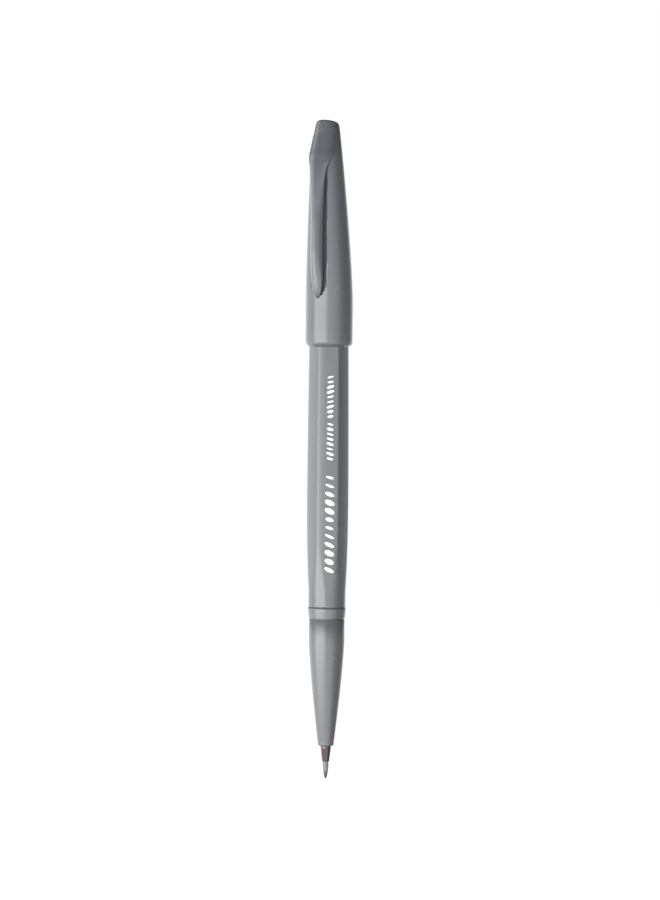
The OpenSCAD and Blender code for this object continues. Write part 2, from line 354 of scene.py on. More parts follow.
def natural_polyethylene():
    material, tree, shader = new_material("natural moulded polyethylene", IOR=1.51, Metallic=0.0,
                                          Subsurface_Weight=0.25, Subsurface_Scale=0.8 * MM)
    milk = scaled_noise(tree, 1.5, 3.0, 2.0)
    cloudy = add_node(tree, "ShaderNodeValToRGB", {"Fac": milk})
    set_stops(cloudy.color_ramp, [(0.0, linear("#d3d4d3")), (1.0, linear("#e2e2df"))])
    wax = add_node(tree, "ShaderNodeMapRange", {"Value": milk, "To Min": 0.35, "To Max": 0.5})
    drive(tree, shader, {"Base Color": cloudy.outputs["Color"], "Roughness": wax.outputs["Result"]})
    return material


def pad_printed_ink():
    material, tree, shader = new_material("white pad-printed ink", IOR=1.5, Metallic=0.0)
    cover = scaled_noise(tree, 0.25, 0.25, 3.0)
    white = add_node(tree, "ShaderNodeValToRGB", {"Fac": cover})
    set_stops(white.color_ramp, [(0.3, linear("#dcdcdf")), (0.5, linear("#f6f6f7"))])
    film = add_node(tree, "ShaderNodeBump", {"Height": cover, "Strength": 0.3, "Distance": 0.004 * MM})
    dull = add_node(tree, "ShaderNodeMapRange", {"Value": cover, "To Min": 0.45, "To Max": 0.6})
    drive(tree, shader, {"Base Color": white.outputs["Color"], "Roughness": dull.outputs["Result"],
                         "Normal": film.outputs["Normal"]})
    return material


film_wrap = clear_film()
liner_plastic = natural_polyethylene()
print_ink = pad_printed_ink()
print("small finishes:", film_wrap.name, liner_plastic.name, print_ink.name)

# %% [markdown]
# ## The barrel's rule
#
# The barrel is a six-sided tube with softly rounded corners and flats that bulge a little. It is round at
# the collar, fullest about a third of the way up, and slimmer again at the cap. That is a rule, not a
# hand-drawn shape: each section is six shallow arcs joined by six small ones, and only their radii change
# with height. Geometry Nodes suit this well. A plain cylinder supplies the points, and a chain of Math
# nodes moves each of them. Every row of the table below is one Math node: its name, its operation and
# what goes in, which is a number, a row above, or one of the tree's named inputs.

# %% A tree of Math nodes from a table
barrel_inputs = {"Length": 63.5, "Foot": 42.0, "Neck Radius": 4.58, "Full Radius": 5.05,
                 "Shoulder Radius": 4.79, "Neck End": 45.5, "Full Height": 69.0, "Edge Radius": 0.85,
                 "Flat Radius": 19.0, "Fade": 12.0}
SIXTH = math.pi / 3

barrel_rule = [
    ("share", "ADD", "z", 0.5),
    ("height", "MULTIPLY_ADD", "share", "Length", "Foot"),
    ("sixths", "DIVIDE", "angle", SIXTH),
    ("flat_number", "FLOOR", "sixths"),
    ("in_flat", "SUBTRACT", "sixths", "flat_number"),
    ("from_middle", "MULTIPLY_ADD", "in_flat", math.pi, -math.pi / 2),
    ("crowded", "SINE", "from_middle"),
    ("phi", "MULTIPLY", "crowded", SIXTH / 2),
    ("middle", "MULTIPLY_ADD", "flat_number", SIXTH, SIXTH / 2),
    ("turned", "ADD", "middle", "phi"),
    # The radius over the corners: it swells from the neck, then falls to the shoulder
    ("below_full", "SUBTRACT", "Full Height", "height"),
    ("swell_length", "SUBTRACT", "Full Height", "Neck End"),
    ("below_share", "DIVIDE", "below_full", "swell_length"),
    ("below_cut", "MAXIMUM", "below_share", 0.0),
    ("below_cap", "MINIMUM", "below_cut", 1.0),
    ("below_power", "POWER", "below_cap", 2.2),
    ("swelling", "SUBTRACT", 1.0, "below_power"),
    ("full_more", "SUBTRACT", "Full Radius", "Neck Radius"),
    ("swollen", "MULTIPLY_ADD", "swelling", "full_more", "Neck Radius"),
    ("above_full", "SUBTRACT", "height", "Full Height"),
    ("top_height", "ADD", "Foot", "Length"),
    ("fall_length", "SUBTRACT", "top_height", "Full Height"),
    ("above_share", "DIVIDE", "above_full", "fall_length"),
    ("above_cut", "MAXIMUM", "above_share", 0.0),
    ("above_power", "POWER", "above_cut", 1.5),
    ("full_less", "SUBTRACT", "Shoulder Radius", "Full Radius"),
    ("corner", "MULTIPLY_ADD", "above_power", "full_less", "swollen"),
    # The corner's own radius: the whole radius in the round neck, small further up
    ("above_neck", "SUBTRACT", "height", "Neck End"),
    ("fade_share", "DIVIDE", "above_neck", "Fade"),
    ("fade_cut", "MAXIMUM", "fade_share", 0.0),
    ("fade_cap", "MINIMUM", "fade_cut", 1.0),
    ("edge_less", "SUBTRACT", "Edge Radius", "corner"),
    ("edge", "MULTIPLY_ADD", "fade_cap", "edge_less", "corner"),
    # Where the shallow arc and the corner's arc have their centres, and where they meet
    ("corner_off", "SUBTRACT", "corner", "edge"),
    ("corner_off_cos", "MULTIPLY", "corner_off", math.cos(SIXTH / 2)),
    ("corner_off_sin", "MULTIPLY", "corner_off", math.sin(SIXTH / 2)),
    ("radius_gap", "SUBTRACT", "Flat Radius", "edge"),
    ("gap_squared", "POWER", "radius_gap", 2.0),
    ("sin_squared", "POWER", "corner_off_sin", 2.0),
    ("reach_squared", "SUBTRACT", "gap_squared", "sin_squared"),
    ("reach", "SQRT", "reach_squared"),
    ("flat_off", "SUBTRACT", "reach", "corner_off_cos"),
    ("meet_turn", "ARCTAN2", "corner_off_sin", "reach"),
    ("meet_sin", "SINE", "meet_turn"),
    ("meet_cos", "COSINE", "meet_turn"),
    ("meet_y", "MULTIPLY", "meet_sin", "Flat Radius"),
    ("meet_x", "MULTIPLY", "meet_cos", "Flat Radius"),
    ("meet_x_off", "SUBTRACT", "meet_x", "flat_off"),
    ("meet_phi", "ARCTAN2", "meet_y", "meet_x_off"),
    # The radius on the shallow arc
    ("phi_cos", "COSINE", "phi"),
    ("phi_sin", "SINE", "phi"),
    ("flat_cos", "MULTIPLY", "flat_off", "phi_cos"),
    ("flat_sin", "MULTIPLY", "flat_off", "phi_sin"),
    ("flat_sin_squared", "POWER", "flat_sin", 2.0),
    ("flat_radius_squared", "POWER", "Flat Radius", 2.0),
    ("flat_left", "SUBTRACT", "flat_radius_squared", "flat_sin_squared"),
    ("flat_root", "SQRT", "flat_left"),
    ("on_flat", "SUBTRACT", "flat_root", "flat_cos"),
    # The radius on the corner's arc
    ("phi_size", "ABSOLUTE", "phi"),
    ("psi", "SUBTRACT", SIXTH / 2, "phi_size"),
    ("psi_cos", "COSINE", "psi"),
    ("psi_sin", "SINE", "psi"),
    ("edge_cos", "MULTIPLY", "corner_off", "psi_cos"),
    ("edge_sin", "MULTIPLY", "corner_off", "psi_sin"),
    ("edge_sin_squared", "POWER", "edge_sin", 2.0),
    ("edge_squared", "POWER", "edge", 2.0),
    ("edge_left", "SUBTRACT", "edge_squared", "edge_sin_squared"),
    ("edge_kept", "MAXIMUM", "edge_left", 0.0),
    ("edge_root", "SQRT", "edge_kept"),
    ("on_edge", "ADD", "edge_cos", "edge_root"),
    # The one that holds at this point, and the point itself
    ("is_edge", "GREATER_THAN", "phi_size", "meet_phi"),
    ("edge_more", "SUBTRACT", "on_edge", "on_flat"),
    ("radius", "MULTIPLY_ADD", "is_edge", "edge_more", "on_flat"),
    ("turned_cos", "COSINE", "turned"),
    ("turned_sin", "SINE", "turned"),
    ("new_x", "MULTIPLY", "radius", "turned_cos"),
    ("new_y", "MULTIPLY", "radius", "turned_sin"),
]


def new_geometry_tree(name, floats, objects=()):
    """A Geometry Nodes tree with named inputs. Returns it with its input and output nodes."""
    tree = bpy.data.node_groups.new(name, "GeometryNodeTree")
    tree.interface.new_socket("Geometry", in_out="OUTPUT", socket_type="NodeSocketGeometry")
    for label in floats:
        tree.interface.new_socket(label, in_out="INPUT", socket_type="NodeSocketFloat")
    for label in objects:
        tree.interface.new_socket(label, in_out="INPUT", socket_type="NodeSocketObject")
    tree.interface.new_socket("Material", in_out="INPUT", socket_type="NodeSocketMaterial")
    return tree, tree.nodes.new("NodeGroupInput"), tree.nodes.new("NodeGroupOutput")


def add_rule(tree, rule, known):
    """Adds one Math node for each row of a rule. known maps names to the sockets they stand for."""
    for name, operation, *terms in rule:
        inputs = {i: known[term] if isinstance(term, str) else term for i, term in enumerate(terms)}
        known[name] = add_node(tree, "ShaderNodeMath", inputs, operation=operation, label=name).outputs["Value"]


print("rule of the barrel:", len(barrel_rule), "Math nodes")

# %% [markdown]
# ## The barrel's skin
#
# The cylinder has 216 points round and 130 rows. The sine in the rule crowds the points towards the six
# corners, where the surface turns fastest, so that the small arcs stay smooth with few faces. The tree
# ends in Realize Instances and Set Material, and the result is turned into a plain mesh.


# %% Barrel skin by Geometry Nodes
def barrel_tree():
    tree, given, made = new_geometry_tree("rounded_hexagon_barrel", barrel_inputs)
    tube = add_node(tree, "GeometryNodeMeshCylinder", {"Vertices": 216, "Side Segments": 130, "Radius": 1.0,
                                                       "Depth": 1.0}, fill_type="NONE")
    place = add_node(tree, "GeometryNodeInputPosition")
    parts = add_node(tree, "ShaderNodeSeparateXYZ", {0: place.outputs["Position"]})
    angle = add_node(tree, "ShaderNodeMath", {0: parts.outputs["Y"], 1: parts.outputs["X"]}, operation="ARCTAN2")
    known = {label: given.outputs[label] for label in barrel_inputs}
    known.update(z=parts.outputs["Z"], angle=angle.outputs["Value"])
    add_rule(tree, barrel_rule, known)
    point = add_node(tree, "ShaderNodeCombineXYZ", {"X": known["new_x"], "Y": known["new_y"], "Z": known["height"]})
    moved = add_node(tree, "GeometryNodeSetPosition", {"Geometry": tube.outputs["Mesh"],
                                                       "Position": point.outputs["Vector"]})
    real = add_node(tree, "GeometryNodeRealizeInstances", {"Geometry": moved.outputs["Geometry"]})
    finished = add_node(tree, "GeometryNodeSetMaterial", {"Geometry": real.outputs["Geometry"],
                                                          "Material": given.outputs["Material"]})
    tree.links.new(finished.outputs["Geometry"], made.inputs["Geometry"])
    return tree


def grow(name, tree, values):
    """Runs a Geometry Nodes tree with its named inputs and returns the plain mesh it makes."""
    seed = bpy.data.objects.new(name, bpy.data.meshes.new(name))
    scene.collection.objects.link(seed)
    modifier = seed.modifiers.new(name, "NODES")
    modifier.node_group = tree
    sockets = {s.name: s.identifier for s in tree.interface.items_tree if s.in_out == "INPUT"}
    for label, value in values.items():
        modifier[sockets[label]] = value
    bpy.context.view_layer.update()
    graph = bpy.context.evaluated_depsgraph_get()
    mesh = bpy.data.meshes.new_from_object(seed.evaluated_get(graph))
    seed.modifiers.remove(modifier)
    bpy.data.objects.remove(seed)
    return mesh


foot_gap = 0.12
top_gap = 0.04
barrel_values = dict(barrel_inputs, Foot=collar_top + foot_gap, Material=body_plastic)
barrel_values["Length"] = shoulder_z - top_gap - collar_top - foot_gap
barrel_values["Neck End"] = collar_top + 3.5
barrel_values["Full Height"] = collar_top + 27.0
barrel_values["Full Radius"] = full_r
skin = grow("barrel_skin", barrel_tree(), barrel_values)
print("barrel skin:", len(skin.vertices), "points")

# %% [markdown]
# ## The barrel's ends and bore
#
# Below the skin the barrel has a socket for the grip, and above it a round tail that the cap pushes on to.
# Both are drawn by carrying the skin's two open rims along an outline: each step pulls a copy of the rim
# to a new radius and height. The two rims are bridged at the end, and the tube is then closed.


# %% Barrel with its socket, bore and tail
def carry_rim(bm, edges, outline):
    """Extrudes a rim of edges through each (radius, height) of an outline, and returns the last rim."""
    for radius, height in outline:
        grown = bmesh.ops.extrude_edge_only(bm, edges=edges)["geom"]
        edges = [g for g in grown if isinstance(g, bmesh.types.BMEdge) and all(v in grown for v in g.verts)]
        edges = [e for e in edges if len(e.link_faces) == 1]
        for point in {v for e in edges for v in e.verts}:
            flat = Vector((point.co.x, point.co.y)).normalized() * radius
            point.co = (flat.x, flat.y, height)
    return edges


def rim_at(bm, height):
    return [e for e in bm.edges if len(e.link_faces) == 1 and all(abs(v.co.z - height) < 1e-4 for v in e.verts)]


bm = bmesh.new()
bm.from_mesh(skin)
skin_low = min(v.co.z for v in bm.verts)
skin_high = max(v.co.z for v in bm.verts)
neck_r = barrel_inputs["Neck Radius"]
socket_r = 4.0
socket_end = collar_top + 9.1
tube_r = 3.7
bore_outline = [(neck_r - 0.03, collar_top + 0.04), (neck_r - 0.12, collar_top), (socket_r + 0.06, collar_top),
                (socket_r, collar_top + 0.1), (socket_r, socket_end), (tube_r, socket_end), (tube_r, tail_top)]
tail_outline = ([(tail_r - 0.3, tail_top)] + arc(tail_r - 0.25, tail_top - 0.35, 0.25, 0.3, 80, 0, 4)
                + [(tail_r, shoulder_z - 0.02)])
low_rim = carry_rim(bm, rim_at(bm, skin_low), bore_outline + tail_outline)
low_rim = carry_rim(bm, low_rim, [(tail_r + 0.02, shoulder_z)])
high_rim = [e for e in rim_at(bm, skin_high) if Vector(e.verts[0].co.xy).length > tail_r + 0.1]
edge_share = 0.983
last = bmesh.ops.extrude_edge_only(bm, edges=high_rim)["geom"]
for point in [g for g in last if isinstance(g, bmesh.types.BMVert)]:
    point.co = (point.co.x * edge_share, point.co.y * edge_share, shoulder_z)
top_rim = [e for e in rim_at(bm, shoulder_z) if e.link_faces]
bmesh.ops.bridge_loops(bm, edges=top_rim)
open_edges = [e for e in bm.edges if len(e.link_faces) != 2]
print("barrel edges left open:", len(open_edges))
barrel = make_piece("barrel_hexagonal", bm, 40)

# %% [markdown]
# ## The grip section
#
# The writer's fingers hold a slender cone that swells in one long curve to a short round land, then a
# collar that hides the joint with the barrel. Two fine dark lines show there: a groove under the collar,
# and the joint above it. The piece is hollow and has a spigot that goes into the barrel, so its outline
# is a closed loop that is spun about the axis.

# %% Grip section
land_z = grip_low.z + 25.6
collar_z = collar_top - 2.8
nose_r = 1.98
nose_edge = 0.5
cone_start = nose_z + nose_edge + 0.1
cone = []
for i in range(29):
    z = cone_start + (land_z - cone_start) * i / 28
    share = (land_z - z) / (land_z - cone_start)
    cone.append((tail_r - (tail_r - nose_r) * share ** 1.31, z))
nose = [(1.32, nose_z + 0.1), (1.4, nose_z)]
nose += arc(nose_r - nose_edge, nose_z + nose_edge, nose_edge, nose_edge, -90, -8, 7)
collar = [(tail_r, collar_z - 0.2), (tail_r - 0.03, collar_z - 0.14), (tail_r - 0.16, collar_z - 0.1),
          (tail_r - 0.16, collar_z + 0.06), (4.43, collar_z + 0.1), (4.49, collar_z + 0.18), (4.53, collar_z + 0.6),
          (4.63, collar_z + 1.7), (4.68, collar_z + 2.3), (4.67, collar_z + 2.55), (4.61, collar_z + 2.66),
          (4.5, collar_z + 2.7), (4.42, collar_z + 2.72), (4.42, collar_z + 2.76), (3.99, collar_z + 2.76)]
spigot_top = grip_high.z
inside = [(3.99, spigot_top - 0.5), (3.7, spigot_top), (3.38, spigot_top), (3.38, holder_high.z + 0.1),
          (2.45, nose_z + 12.6), (1.95, nose_z + 8.1), (1.95, nose_z + 6.1), (1.32, nose_z + 6.1)]
grip = make_piece("grip_section_tapered", lathe(nose + cone + collar + inside, 160, loop=True), 30)

# %% [markdown]
# ## The nib holder
#
# A small dark mouthpiece stands out of the nose. It tapers to a lip that pinches the nib, and behind the
# nose it widens to a hub and a flange that meets the ink store. It is turned about the axis too. The lip
# gets its own little bead, because on a shiny part a bead is what catches the light.

# %% Nib holder
lip_z = holder_low.z
hub_z = nose_z + 6.1
stem_r = 1.3
flange_z = holder_high.z
flange_r = 3.2
outside = [(0.8, lip_z + 0.06), (0.83, lip_z)] + arc(0.86, lip_z + 0.1, 0.085, 0.1, -80, 60, 5)
outside += [(0.91, lip_z + 0.3), (0.955, lip_z + 0.6), (1.08, lip_z + 1.5), (1.2, lip_z + 2.45),
            (1.27, lip_z + 3.1), (stem_r - 0.01, lip_z + 3.4), (stem_r, hub_z), (1.85, hub_z),
            (1.9, hub_z + 0.08), (1.9, hub_z + 1.6), (1.5, hub_z + 1.6), (1.5, flange_z - 1.0),
            (flange_r - 0.05, flange_z - 1.0), (flange_r, flange_z - 0.95), (flange_r, flange_z - 0.05),
            (flange_r - 0.05, flange_z)]
within = [(0.76, flange_z), (0.76, lip_z + 1.0), (0.8, lip_z + 1.0)]
holder = make_piece("nib_holder_glossy", lathe(outside + within, 96, loop=True), 30)

# %% [markdown]
# ## The brush nib
#
# The nib is one rod of bonded fibre: ground to a slim rounded point in front, straight in the holder, and
# pushed into the ink store behind. When the writer presses, the part outside the holder bends, so its rows
# lie close together there. One power law draws the point, and the rows below it stay round.

# %% Brush nib
nib_r = 0.72
point_end = 2.9
point_rows = 26
profile = [(0.0, 0.0)]
for i in range(1, point_rows + 1):
    z = point_end * (i / point_rows) ** 1.6
    profile.append((nib_r * (z / point_end) ** 0.4, z))
profile += [(nib_r, point_end + 0.15 * i) for i in range(1, 14)]
shank_r = 0.74
profile += [(shank_r, shank_low.z + 0.15), (shank_r, shank_low.z + 10)]
profile += [(shank_r, shank_high.z), (0.0, shank_high.z)]
nib = make_piece("brush_nib", lathe(profile, 40), 50)

# %% [markdown]
# ## The tail plug
#
# A small disc with a skirt closes the tail once the ink store is in. It is hidden in the cap while the cap
# is posted, and shows when the cap is pulled off. The dimple in the middle is where the mould was fed.

# %% Tail plug
plug_r = 3.65
rim_z = pen_top - 1.0
plug_outline = ([(0.0, plug_low.z + 6.6), (plug_r - 0.9, plug_low.z + 6.6), (plug_r - 0.9, plug_low.z + 0.1),
                 (plug_r - 0.8, plug_low.z), (plug_r - 0.4, plug_low.z), (plug_r, plug_low.z + 0.6),
                 (plug_r, rim_z), (tail_r - 0.15, rim_z), (tail_r - 0.1, rim_z + 0.05),
                 (tail_r - 0.1, rim_z + 0.5)]
                + arc(tail_r - 0.55, pen_top - 0.5, 0.45, 0.5, 10, 90, 5)
                + [(1.0, pen_top), (0.9, pen_top - 0.12), (0.25, pen_top - 0.15), (0.0, pen_top - 0.1)])
plug = make_piece("tail_plug_disc", lathe(plug_outline, 96), 30)

# %% [markdown]
# ## The cap's shape
#
# The cap is round at its mouth and tapers to a small slanted crown, but on the clip's side it stays straight
# until near the top. So each section is still a circle, only one that touches two lines: the straight
# front on the clip's side and the curved back. The cap is drawn with the clip along +X and turned to its
# real direction at the end. A flat land lies behind the clip's arm, with a shallow channel sunk into it,
# which gives the arm its room and keeps the gap behind it dark.

# %% Reaches of the cap
CLIP_TURN = math.radians(241)
cap_length = cap_high.z - cap_mouth
taper_u = 11.0
slant_u = 48.0
front_swell = 0.1
front_r = cap_r + front_swell
front_top_r = 4.2
land_x = front_r - 0.04
root_u = 45.4
crown_slope = math.tan(math.radians(11))


def front_reach(u):
    """Distance from the axis to the cap's skin on the clip's side. u is the height over the mouth."""
    swell = front_swell * min(1.0, max(0.0, (u - taper_u) / 7))
    over = u - slant_u
    bend = 1.2
    soft = (over + math.hypot(over, bend)) / 2 - (-slant_u + math.hypot(slant_u, bend)) / 2
    return cap_r + swell - soft * (front_r - front_top_r) / (cap_length - slant_u)


def back_reach(u):
    """Distance from the axis to the cap's skin on the other side."""
    if u < taper_u:
        return cap_r
    share = min(1.0, (u - taper_u) / (slant_u - taper_u))
    return cap_r - 4.05 * share ** 1.265 - 0.55 * max(0.0, u - slant_u) / (cap_length - slant_u)


def land_reach(u):
    """How far out the flat land behind the arm lets the skin come."""
    if u < taper_u - 1.8 or u > root_u + 0.3:
        return 99.0
    return land_x if u < 39 else land_x - 0.86 * (u - 39) / (root_u - 39)


def channel_depth(y, u):
    """How deep the shallow channel behind the arm goes in. Its room takes up the arm's shadow."""
    half_width = 2.35 * math.sqrt(min(1.0, max(0.0, (u - 12.4) / 3.0)))
    upper_end = min(1.0, max(0.0, (43.5 - u) / 2.0))
    return 0.9 * upper_end * min(1.0, max(0.0, (half_width - abs(y)) / 0.45))


def crown_height(x):
    """Height of the slanted top plane over the mouth, at a distance towards the clip."""
    return cap_length + (x - front_top_r) * crown_slope


for u in (0, 20, 40, 48, 54):
    print(f"height {u}: front {front_reach(u):.2f}, back {back_reach(u):.2f}")

# %% [markdown]
# ## Lofting the cap
#
# The rings run in one sequence: from the closed end of the bore down to the mouth, round the lip, up the
# outside, over the crown's rounded edge and in to its middle. Two fine rings are cut under the crown, where
# the insert of the mould met the rest. They stay level while the crown slants, so the rings' heights are
# held below the crown's edge all the way round.

# %% Cap body
CAP_SIDES = 144
crown_edge = 0.75
crown_u = cap_length - 0.6


def egg_ring(u, inset=0.0):
    """A ring of the cap's skin at a height, or a little inside it."""
    radius = (front_reach(u) + back_reach(u)) / 2 - inset
    off = front_reach(u) - inset - radius
    points = []
    for x, y, z in circle(radius, u, CAP_SIDES, off):
        skin_x = min(x, land_reach(u))
        depth = channel_depth(y, u) if x > 0 else 0.0
        if depth > 0:
            skin_x = min(skin_x, land_x - depth)
        points.append((skin_x, y, min(z, crown_height(x) - crown_edge)))
    return points


def crown_ring(turn, inset):
    """A ring of the crown's rounded edge (turn from 0 to 90 degrees), or of the flat top inside it."""
    radius = (front_reach(crown_u) + back_reach(crown_u)) / 2
    off = front_reach(crown_u) - radius
    inner = radius - crown_edge * (1 - math.cos(math.radians(turn))) - inset
    points = []
    for x, y, z in circle(inner, 0.0, CAP_SIDES, off):
        points.append((x, y, crown_height(x) - crown_edge * (1 - math.sin(math.radians(turn)))))
    return points


bore_r = tail_r + 0.07
bore = [(0.0, 42.5), (1.0, 42.5), (1.75, 42.4), (3.15, 28.0), (4.0, 28.0), (4.0, 25.0), (bore_r, 18.0),
        (bore_r, 0.45), (bore_r + 0.3, 0.06), (bore_r + 0.36, 0.0)]
lip = [(4.9, 0.0)] + arc(4.9, 1.5, 0.9, 1.5, -84, 0, 9)
rings = [circle(r, u, CAP_SIDES) for r, u in bore + lip]
rings += [egg_ring(u) for u in (4.0, 6.5, 9.19, 9.2)]
rings += [egg_ring(taper_u + (root_u - taper_u) * i / 46) for i in range(47)]
rings += [egg_ring(u) for u in (45.69, 45.71, 46.5, 47.3, 48.1, 49.0, 50.0, 51.0, 52.0, 52.8)]
for groove_u in (53.15, 53.6):
    rings += [egg_ring(groove_u - 0.08), egg_ring(groove_u - 0.03, 0.07), egg_ring(groove_u + 0.03, 0.07),
              egg_ring(groove_u + 0.08)]
rings += [crown_ring(turn, 0.0) for turn in (5, 18, 32, 46, 60, 75, 90)]
top_radius = (front_reach(crown_u) + back_reach(crown_u)) / 2 - crown_edge
rings += [crown_ring(90, top_radius * share) for share in (0.25, 0.5, 0.75)]
rings.append([crown_ring(90, top_radius - 0.001)[0]])
to_clip = Matrix.Translation((0, 0, cap_mouth)) @ Matrix.Rotation(CLIP_TURN, 4, "Z")
bm = loft(rings)
bm.transform(to_clip)
cap = make_piece("cap_body", bm, 28)

# %% [markdown]
# ## The clip and its shoulder
#
# The clip grows out of a broad shoulder near the crown and runs down as a slim sprung arm with a rounded
# ridge. It could be cut from a block, but the real one has no hard edges, so it is lofted: at each height
# the section is a D, whose width, front and back follow smooth curves through a few sizes. Above the root
# the back of the D lies inside the cap, so the shoulder and the cap look like one moulding.


# %% Smooth curves through sizes
def along(sizes, u):
    """A smooth curve through (height, size) pairs, which does not overshoot between them."""
    if u <= sizes[0][0]:
        return sizes[0][1]
    if u >= sizes[-1][0]:
        return sizes[-1][1]
    slopes = [(b[1] - a[1]) / (b[0] - a[0]) for a, b in zip(sizes, sizes[1:])]
    between = [0.0 if p * q <= 0 else 2 * p * q / (p + q) for p, q in zip(slopes, slopes[1:])]
    tangents = [slopes[0]] + between + [slopes[-1]]
    k = max(i for i, size in enumerate(sizes[:-1]) if size[0] <= u)
    (u0, v0), (u1, v1) = sizes[k], sizes[k + 1]
    h = u1 - u0
    t = (u - u0) / h
    return (v0 * (1 + 2 * t) * (1 - t) ** 2 + tangents[k] * h * t * (1 - t) ** 2
            + v1 * t * t * (3 - 2 * t) + tangents[k + 1] * h * t * t * (t - 1))


tip_u = 12.2
front = [(tip_u, 6.35), (tip_u + 0.35, 6.55), (tip_u + 1.2, 6.9), (tip_u + 4.2, 7.6), (tip_u + 8.2, 8.2),
         (tip_u + 12, 8.42), (tip_u + 17, 8.4), (tip_u + 22.5, 8.2), (tip_u + 27.5, 7.8), (tip_u + 31, 7.38),
         (root_u, 6.98), (46.6, 6.72), (48.0, 6.22), (50.0, 5.56), (52.0, 4.92), (53.3, 4.4)]
back = [(tip_u, 6.05), (16.0, 6.17), (22.0, 6.4), (30.0, 6.4), (39.0, 6.25), (42.4, 5.95),
        (root_u - 0.3, 5.5), (root_u + 0.25, 3.3), (48.0, 3.0), (53.3, 2.0)]
half_width = [(tip_u, 0.62), (tip_u + 0.35, 0.85), (tip_u + 1.2, 1.15), (tip_u + 4, 1.52), (tip_u + 8, 1.6),
              (32.0, 1.62), (37.0, 1.8), (41.0, 2.05), (43.1, 2.3), (44.6, 2.75), (root_u + 0.4, 3.12),
              (46.8, 3.3), (48.0, 3.3), (50.0, 3.2), (52.0, 2.9), (53.3, 2.6)]
side = [(tip_u, 6.2), (16.4, 6.4), (20.0, 6.42), (26.0, 6.42), (36.0, 6.42), (42.0, 6.3), (44.5, 5.8),
        (root_u, 5.3), (46.6, 4.6), (48.0, 3.9), (50.0, 3.3), (52.0, 2.8), (53.3, 2.4)]
fullness = [(tip_u, 1.8), (15.0, 1.6), (36.0, 1.55), (43.0, 1.6), (47.0, 1.7), (53.3, 1.75)]
print("arm at half length: front", round(along(front, 28), 2), "half width", round(along(half_width, 28), 2))

# %% Clip and shoulder
SECTION_STEPS = 26


def clip_section(u):
    """The D of the clip at a height: a rounded ridge, two flanks and a flat back with eased corners."""
    w = along(half_width, u)
    x_back, x_front = along(back, u), along(front, u)
    x_side = max(x_back, along(side, u))
    power = 2 / along(fullness, u)
    ease = 0.12
    points = []
    for i in range(SECTION_STEPS + 1):
        t = math.pi * i / SECTION_STEPS
        y = -w * math.copysign(abs(math.cos(t)) ** power, math.cos(t))
        points.append((x_side + (x_front - x_side) * max(0.0, math.sin(t)) ** power, y, u))
    points += [(x_back + ease, w, u), (x_back, w - ease, u), (x_back, w / 3, u), (x_back, -w / 3, u),
               (x_back, -w + ease, u), (x_back + ease, -w, u)]
    return points


heights = [tip_u + 0.03, tip_u + 0.1, tip_u + 0.22, tip_u + 0.4, tip_u + 0.8]
heights += [tip_u + 1.2 + (43.0 - tip_u - 1.2) * i / 50 for i in range(51)]
heights += [43.0 + 0.25 * i for i in range(1, 18)]
heights += [47.6 + 0.3 * i for i in range(20)]
hinge_r = 6.2
rings = [[(hinge_r, 0.0, tip_u)], [(0.5 * (x + hinge_r), 0.72 * y, tip_u) for x, y, z in clip_section(tip_u)]]
rings += [clip_section(u) for u in heights]
rings.append([(2.4, 0.0, heights[-1])])
bm = loft(rings)
bm.transform(to_clip)
clip = make_piece("clip_and_shoulder", bm, 50)

# %% [markdown]
# ## The printed mark
#
# The flat that faces the writer carries a white print. Here it is a plain pattern of brush dabs, broad at
# the foot of the barrel and fine towards the cap, such as a maker might use to show what the nib can do.
# Dabs repeat along a line and lie on a curved flat, so Geometry Nodes make them: a line of points, one
# small disc on each, a width that swells and shrinks with the point's number, a slant from a fixed seed,
# and a ray from each corner of the mesh back to the barrel, which lays the ink on it.

# %% A tree of printed dabs
print_inputs = {"Count": 10.0, "Start": 50.3, "Pitch": 2.5, "Across": 2.3, "Side": 0.46, "Thinnest": 0.3,
                "Thickest": 1.0, "Waves": 1.5, "Slant": 0.3, "Ink": 0.024, "Seed": 3.0}
dab_rule = [
    ("share", "DIVIDE", "index", "Count"),
    ("phase", "MULTIPLY", "share", "Waves"),
    ("turn", "MULTIPLY", "phase", 2 * math.pi),
    ("wave", "SINE", "turn"),
    ("wave_half", "MULTIPLY_ADD", "wave", 0.5, 0.5),
    ("spread", "SUBTRACT", "Thickest", "Thinnest"),
    ("thickness", "MULTIPLY_ADD", "wave_half", "spread", "Thinnest"),
    ("width_share", "MULTIPLY_ADD", "random", 0.3, 0.7),
    ("width", "MULTIPLY", "Across", "width_share"),
    ("lean", "MULTIPLY_ADD", "random", 0.6, 0.7),
    ("slant", "MULTIPLY", "lean", "Slant"),
]


